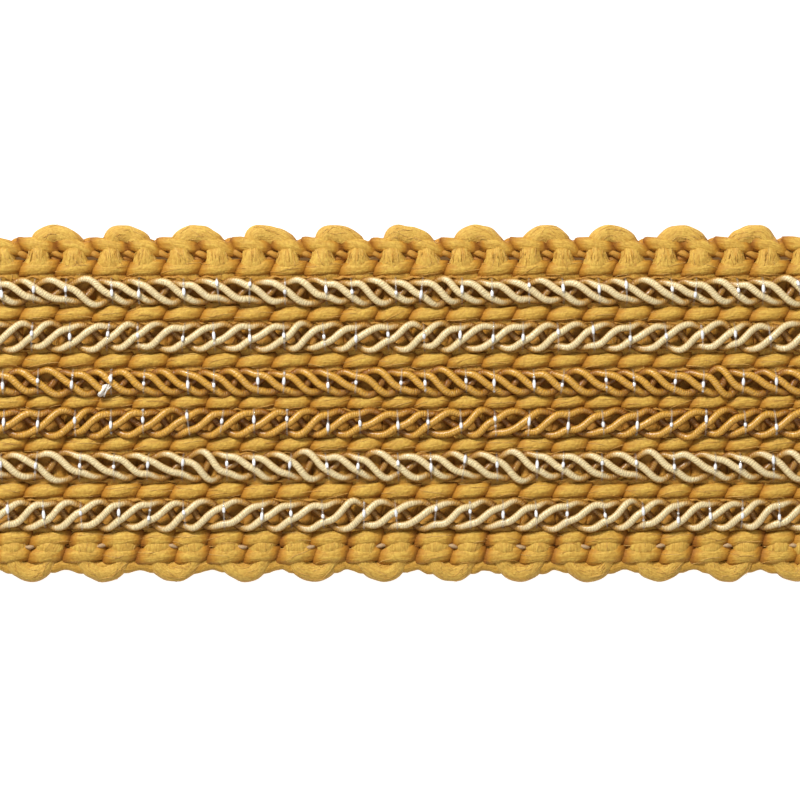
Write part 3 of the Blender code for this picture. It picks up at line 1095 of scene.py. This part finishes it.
# %% Binding threads
BINDER_ROWS = (12.05, 9.62, 7.62, 5.08, 3.02, 0.82, -0.86, -3.05, -5.02, -7.6, -9.68, -12.2)
BINDER_TWIST = 0.95  # mm a turn
BINDER_STEP = 0.19
BINDER_WIDE = 0.24  # half the width of its flat section
BINDER_THICK = 0.13
BINDER_HEIGHT = 1.52
BINDER_SWAY = 0.12  # how far it sways to the sides, once for each pick
BINDER_BOB = 0.10  # and up and down
# BINDER_SHADE sets the binding threads' painted shade, as they lie in the shade beside the cords.
BINDER_SHADE = 0.6


def binder_shell(number, y):
    chance = np.random.default_rng(40 + number)
    limit = HALF_LENGTH - 0.1
    x = np.linspace(-limit, limit, int(2 * limit / BINDER_STEP))
    sway = BINDER_SWAY * np.sin(math.tau * x / PICK + chance.uniform(0, math.tau))
    bob = BINDER_BOB * np.sin(math.tau * x / PICK + chance.uniform(0, math.tau))
    path = np.column_stack([x, y + sway, BINDER_HEIGHT + bob])
    turn = math.pi * x / BINDER_TWIST
    ring_set = rings(path, BINDER_WIDE, BINDER_THICK, 6, turn=turn)
    return ring_set, arc_of(path), np.full((len(x), 1), BINDER_SHADE)


TWIST_POINTS = np.array((
    # place along the braid from a seam, y, height
    (-1.25, 14.72, 0.35),
    (-0.75, 14.70, 0.95),
    (-0.30, 14.60, 1.35),
    (0.15, 14.38, 1.38),
    (0.60, 14.17, 1.05),
    (1.15, 14.12, 0.35),
))
TWIST_END_ROOM = 0.3
TWIST_FINENESS = 4  # points of the soft path for each point of the table
SOFTENING = np.array((0.25, 0.5, 0.25))  # shares of a point's neighbours and of itself


def gap_twists():
    """The thread that slants across the gaps of the top band and passes below each pick."""
    points = np.concatenate([TWIST_POINTS + (seam, 0, 0) for seam in SEAMS["inner_top"][1:-1]])
    points = points[np.abs(points[:, 0]) < HALF_LENGTH - TWIST_END_ROOM]
    place = np.arange(len(points))
    fine = np.linspace(0, len(points) - 1, len(points) * TWIST_FINENESS)
    path = np.column_stack([np.interp(fine, place, points[:, axis]) for axis in range(3)])
    for _ in range(3):
        for axis in range(3):
            path[1:-1, axis] = np.convolve(path[:, axis], SOFTENING, "same")[1:-1]
    ring_set = rings(path, 0.30, 0.26, 8, swell=lumps(arc_of(path), 8, 91, 0.12))
    # Painted shade: the thread is darker where it dips low.
    return ring_set, arc_of(path), np.clip(path[:, 2:3] - 0.8, 0.1, 0.6)


PAD_ROOM = 1.5  # no bit lies nearer than this to a cut end
PAD_BEFORE = 1.15  # how far a bit reaches before and after the seam
PAD_AFTER = 0.85
PAD_STEPS = 9
PAD_BLUNT = 0.35  # how blunt its ends are, as an angle
PAD_DROOP = 0.3
PAD_THICK = 0.34


# depth sets the bits' painted shade, dark by default as they lie in the gaps.
def gap_pads(row, y, height, first, half_wide, share=1.0, depth=0.2):
    """Short thick bits of binding thread that fill every second gap between two picks."""
    shells = []
    for seam in SEAMS[row][first:-1:2]:
        if abs(seam) > HALF_LENGTH - PAD_ROOM:
            continue
        x = np.linspace(seam - PAD_BEFORE * share, seam + PAD_AFTER * share, PAD_STEPS)
        swell = np.sin(np.linspace(PAD_BLUNT, math.pi - PAD_BLUNT, PAD_STEPS))
        path = np.column_stack([x, y + 0.1 * np.sin(3 * x), height - PAD_DROOP * (1 - swell)])
        ring_set = rings(path, half_wide * swell, PAD_THICK * swell, 8)
        shells.append((ring_set, arc_of(path), np.full((PAD_STEPS, 1), depth)))
    return shells


TOP_PADS = gap_pads("inner_top", 13.95, 0.80, 1, 0.42)
FOOT_PADS = gap_pads("inner_foot", -14.02, 0.85, 1, 0.30)
# Painted light: pale bits that stand for the bright floor seen through the gaps.
PALE_BITS = gap_pads("inner_foot", -14.05, 1.60, 2, 0.22, share=0.5, depth=0.5)
BINDERS = [binder_shell(number, y) for number, y in enumerate(BINDER_ROWS)]
make_piece("binding_threads", BINDERS + [gap_twists()] + TOP_PADS + FOOT_PADS, gold_binder,
           "gold_yarn")
pale_thread = yarn_finish("pale_painted_light_thread", (214, 186, 148), (196, 164, 122), (150, 112, 66),
                          fineness=12.0, length=0.8, bump=0.5)
make_piece("pale_painted_light_bits", PALE_BITS, pale_thread, "clear_thread")

# %% Edge yarns
FILLET_DEPTH = 0.34  # how far the foot yarn swings out to meet the flank of a loop
FILLET_REACH = 1.15  # and how far from the middle between two loops it starts to
EDGE_STEPS = 480
EDGE_SIDES = 14
EDGE_THICK = 0.46
# EDGE_SHADE sets the edge yarns' painted shade, a little below the crowns' brightness.
EDGE_SHADE = 0.72


def edge_yarn(name, y, half_wide, height, seed, loops=()):
    """A yarn along the edge. Where loops are given, it swings out beside each of them."""
    limit = HALF_LENGTH - 0.05
    x = np.linspace(-limit, limit, EDGE_STEPS)
    out = np.zeros(len(x))
    if len(loops):
        away = np.abs(x[:, None] - np.array(loops)[None, :]).min(axis=1)
        out = FILLET_DEPTH * np.clip((PICK - away) / FILLET_REACH, 0, 1) ** 2
    path = np.column_stack([x, y - out + 0.06 * np.sin(1.1 * x + seed), np.full(len(x), height)])
    arc = arc_of(path)
    swell = lumps(arc, EDGE_SIDES, seed, 0.05)
    ring_set = rings(path, half_wide, EDGE_THICK, EDGE_SIDES, swell=swell)
    make_piece(name, [(ring_set, arc, np.full((len(x), 1), EDGE_SHADE))], gold_warp, "gold_yarn")


edge_yarn("edge_yarn_foot", -15.74, 0.66, 0.92, 77, foot_loops)
edge_yarn("edge_yarn_top", 15.14, 0.46, 0.82, 78)
edge_yarn("band_yarn_top", 14.46, 0.34, 0.62, 79)

# %% [markdown]
# ## Loose filaments
#
# Soft yarn is never smooth. Filaments work loose, follow the yarn for a while and then stand off
# it a little. They break up the edges of the warp pillows and show as bright fine lines on the
# weft in the bands beside the edges. Each one here follows the skin of a yarn that is already
# built, chosen by chance with a fixed seed, and its ends lift off. There are many, so each has
# only three sides.

# %% Loose filaments
FIBRE_SIDES = 3
FIBRE_RADIUS = 0.034
FIBRE_DRIFT = 0.03  # how far a filament drifts round its yarn, as a share of the girth
FIBRE_BRIGHTNESS = (0.35, 1.0)


def loose_fibre(ring_set, start, span, turn, lift, chance):
    """One filament on a yarn's skin. turn is its place round the yarn, 0.5 on top."""
    sides = ring_set.shape[1]
    station = np.arange(start, start + span)
    place = (turn + chance.normal(0, FIBRE_DRIFT) * np.linspace(-1, 1, span)) * sides
    low = np.floor(place).astype(int)
    share = (place - low)[:, None]
    points = (ring_set[station, low % sides] * (1 - share)
              + ring_set[station, (low + 1) % sides] * share)
    outward = unit(points - ring_set[station].mean(axis=1))
    ends = np.abs(np.linspace(-1, 1, span) + chance.uniform(-0.3, 0.3)) ** 3
    points = points + outward * (FIBRE_RADIUS * 0.6 + lift * ends)[:, None]
    taper = FIBRE_RADIUS * (1.1 - 0.6 * np.abs(np.linspace(-1, 1, span)))
    side = np.cross(outward, tangents(points))
    length = np.linalg.norm(side, axis=1, keepdims=True)
    side = side / np.maximum(length, 1e-6)
    angles = around(FIBRE_SIDES)
    tube = (points[:, None, :] - (taper[:, None] * np.sin(angles))[..., None] * side[:, None, :]
            + (taper[:, None] * np.cos(angles))[..., None] * outward[:, None, :])
    return tube, arc_of(points), np.full((span, 1), chance.uniform(*FIBRE_BRIGHTNESS))


FIBRE_EVERY = 3  # rings of a warp yarn between two places where a filament may start
FIBRES_LEFT_OUT = 0.25  # share of those places that stay without one
FIBRE_LEVEL = 1.35  # filaments only show where the warp yarn lies higher than this
WARP_FIBRE_SIDE = 0.27  # how far from the top of its yarn one lies, as a share of the girth
WEFT_FIBRE_SIDE = 0.17
fibre_chance = np.random.default_rng(2024)
warp_fibres = []
for shells in WARP_SHELLS.values():
    for ring_set, _, _ in shells:
        for start in range(2, len(ring_set) - 12, FIBRE_EVERY):
            if ring_set[start + 3:start + 6, :, 2].mean() < FIBRE_LEVEL:
                continue
            if fibre_chance.uniform() < FIBRES_LEFT_OUT:
                continue
            turn = 0.5 + fibre_chance.uniform(-WARP_FIBRE_SIDE, WARP_FIBRE_SIDE)
            span = int(fibre_chance.integers(5, 9))
            lift = fibre_chance.uniform(0.02, 0.2)
            warp_fibres.append(loose_fibre(ring_set, start, span, turn, lift, fibre_chance))
make_piece("loose_fibres_warp", warp_fibres, gold_fibre, "gold_yarn")

WEFT_FIBRE_ZONES = (
    # lowest and highest y, share of the places with a filament
    (13.3, 14.9, 1.0),
    (15.7, 17.5, 0.5),
    (-14.4, -13.7, 0.7),
    (-17.5, -15.5, 0.5),
    (-12.6, 12.3, 0.28),
)
weft_fibres = []
for low_y, high_y, share in WEFT_FIBRE_ZONES:
    for start in np.flatnonzero((weft_y > low_y) & (weft_y < high_y)):
        if start + 10 > len(weft_y) or fibre_chance.uniform() > share:
            continue
        span = int(fibre_chance.integers(4, 8))
        turn = 0.5 + fibre_chance.uniform(-WEFT_FIBRE_SIDE, WEFT_FIBRE_SIDE)
        lift = fibre_chance.uniform(0.02, 0.12)
        weft_fibres.append(loose_fibre(weft_rings, start, span, turn, lift, fibre_chance))
make_piece("loose_fibres_weft", weft_fibres, gold_fibre, "gold_yarn")

# %% [markdown]
# In the top band the weft's filaments part where it leaves the edge row, and the uppermost of
# them lie over the inner row's pillows, so that no line shows between the two yarns.

# %% Parted filaments of the top band
PARTED_COUNT = 9  # filaments on one pick
PARTED_LINE = np.array((
    # y, height, share of the spread, depth of painted shade
    (14.80, 1.55, 0.72, 0.50),
    (14.58, 1.98, 0.86, 1.00),
    (14.30, 2.14, 0.98, 1.00),
    (13.95, 2.17, 1.00, 0.90),
    (13.60, 2.13, 1.04, 0.80),
    (13.30, 2.10, 1.08, 0.75),
    (12.95, 2.02, 1.12, 0.70),
))
PARTED_SPREAD = 0.88  # half the width over which the filaments part
PARTED_ROOT = 1.18  # the height that the outermost filaments fall towards
PARTED_RADIUS = 0.075
parted_chance = np.random.default_rng(55)
parted = []
for number in range(FIRST_PICK, LAST_PICK + 1):
    for place in np.linspace(-1, 1, PARTED_COUNT):
        place = place + parted_chance.normal(0, 0.06)
        stop = int(parted_chance.integers(3, 6))
        line = PARTED_LINE[:stop]
        drift = parted_chance.normal(0, 0.12) * np.linspace(0, 1, stop)
        crown = math.sqrt(max(0.0, 1 - 0.75 * place * place))
        x = pick_x(number, line[:, 0]) + PARTED_SPREAD * line[:, 2] * place + drift
        height = PARTED_ROOT + (line[:, 1] - PARTED_ROOT) * crown
        thin = PARTED_RADIUS * np.linspace(1.0, 0.45, stop) * parted_chance.uniform(0.7, 1.2)
        path = np.column_stack([x, line[:, 0] + parted_chance.normal(0, 0.05), height])
        shade = line[:, 3:4] * parted_chance.uniform(0.75, 1.0)
        parted.append((rings(path, thin, thin * 0.9, 5), arc_of(path), shade))
make_piece("parted_filaments", parted, gold_weft, "gold_yarn")

# %% [markdown]
# One small tuft of white lint is caught in the third cord. It is a few short thick fibres that
# fan out from the stitch.

# %% White lint
lint_finish, tree, shader = new_finish("white_lint")
set_inputs(tree, shader, {"Base Color": linear(250, 244, 232), "Roughness": 0.8})
LINT_CLUMPS = (
    # column, row, half length, half width in pixels, number of fibres
    (110.5, 377.5, 3.5, 1.2, 7),
    (104.0, 390.5, 6.5, 3.8, 22),
)
LINT_LEAN = 0.55  # columns to the left for each row further down
LINT_HEIGHT = 2.85
LINT_ARCH = 0.25  # how far its ends lie below its middle
LINT_UNEVEN = 0.08
LINT_POINTS = 6
LINT_WIDE = 0.075
LINT_THICK = 0.06
lint_chance = np.random.default_rng(7)
lint_shells = []
for column, row, half_long, half_wide, count in LINT_CLUMPS:
    for _ in range(count):
        part = np.linspace(-1, 1, LINT_POINTS)
        spread = lint_chance.normal(0, 0.6, 2)
        rows = row + part * half_long * lint_chance.uniform(0.5, 1.0)
        columns = column + half_wide * (spread[0] + 0.5 * spread[1] * part)
        columns = columns - LINT_LEAN * (rows - row)
        arch = LINT_ARCH * (part + 0.2) ** 2
        height = LINT_HEIGHT - arch + lint_chance.normal(0, LINT_UNEVEN)
        path = np.column_stack([along(columns), across(rows), height])
        ring_set = rings(path, LINT_WIDE, LINT_THICK, 5)
        lint_shells.append((ring_set, arc_of(path), np.ones((LINT_POINTS, 1))))
make_piece("white_lint_tuft", lint_shells, lint_finish, "clear_thread")

# %% [markdown]
# ## Floor, light and camera
#
# The photo is a catalogue view from straight above on pure white. The floor is a pale plane that
# glows a little, as a light table does, so that the braid casts almost no shadow on it. Under the
# braid it is painted brown and glows only a dim brown, painted shade and painted light that show
# through the weave. A broad soft light stands beyond the top edge and a weaker one beyond the foot.
# The camera has a long lens, so its view is close to a flat projection.

# %% Floor
PAPER = (0.5, 0.5, 0.5, 1.0)
GLOW = (1.0, 1.0, 1.0, 1.0)
# Painted light: a dim brown glow under the braid, seen through the weave.
PAINTED_GLOW_UNDER_BRAID = (0.18, 0.105, 0.04, 1.0)  # the light that comes back up through the weave
GLOW_STARTS = (
    # coordinate, and in metres from the middle: where the glow starts and where it is full
    ("top", 0.0148, 0.0156),
    ("foot", -0.0134, -0.0152),
    ("end", 0.0390, 0.0404),
)

bpy.ops.mesh.primitive_plane_add(size=1.2, location=(0, 0, -0.0001))
floor = bpy.context.active_object
floor.name = "floor"
floor_finish, tree, shader = new_finish("pale_floor")
place = add_node(tree, "TexCoord", {})["Object"]
parts = add_node(tree, "SeparateXYZ", {0: place})
reach = {"top": parts["Y"], "foot": parts["Y"], "end": calc(tree, "ABSOLUTE", parts["X"])}
beyond = [ramp_between(tree, reach[side], low, high) for side, low, high in GLOW_STARTS]
glow = calc(tree, "MAXIMUM", calc(tree, "MAXIMUM", beyond[0], beyond[1]), beyond[2])
set_inputs(tree, shader, {
    # Painted shade: the floor's colour is brown under the braid, where it shows through the weave.
    "Base Color": mix_colours(tree, glow, linear(150, 110, 60), PAPER),
    "Roughness": 0.9,
    "Emission Color": mix_colours(tree, glow, PAINTED_GLOW_UNDER_BRAID, GLOW),
    "Emission Strength": 0.85,
})
floor.data.materials.append(floor_finish)

# %% Lights
def soft_light(name, place, size, power):
    bpy.ops.object.light_add(type="AREA", location=place)
    light = bpy.context.active_object
    light.name = name
    light.data.shape = "DISK"
    light.data.size = size
    light.data.energy = power
    light.rotation_mode = "QUATERNION"
    light.rotation_quaternion = (-Vector(place)).to_track_quat("-Z", "Y")
    return light


soft_light("key_light", (-0.26, 0.42, 0.45), 0.18, 4.6)
soft_light("fill_light", (0.10, -0.35, 0.60), 0.5, 0.7)
world = bpy.data.worlds.new("studio")
world.use_nodes = True
set_inputs(world.node_tree, world.node_tree.nodes["Background"],
           {"Color": (1.0, 1.0, 1.0, 1.0), "Strength": 0.31})
bpy.context.scene.world = world
bpy.context.scene.view_settings.view_transform = "Standard"

# %% Camera
LENS = 200.0
SENSOR = 36.0
VIEW_WIDTH = 800 * PIXEL
VIEW_HEIGHT = 2.4  # the height at which the photo's scale holds
distance = VIEW_WIDTH / 2 / (SENSOR / 2 / LENS)
camera_data = bpy.data.cameras.new("camera")
camera_data.lens = LENS
camera_data.sensor_width = SENSOR
camera_data.clip_start = 0.01
camera_data.clip_end = 10.0
camera = bpy.data.objects.new("camera", camera_data)
camera.location = (0.0, float(across(400)) * MM, (VIEW_HEIGHT + distance) * MM)
bpy.context.scene.collection.objects.link(camera)
bpy.context.scene.camera = camera
print("camera", round(distance), "mm above the braid")

# %% [markdown]
#
# The weft is the sheet of this woven band, and all that is woven or stitched into it lies on it.
# The pieces are gathered here and their triangles counted.

# %% Count the pieces and their triangles
shown = [piece for piece in bpy.context.scene.objects
         if piece.type == "MESH" and piece not in (weft, floor) and "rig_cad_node" not in piece]
total = sum(triangles(piece) for piece in shown + [weft])
print("pieces:", len(shown) + 1, "triangles in all:", total)
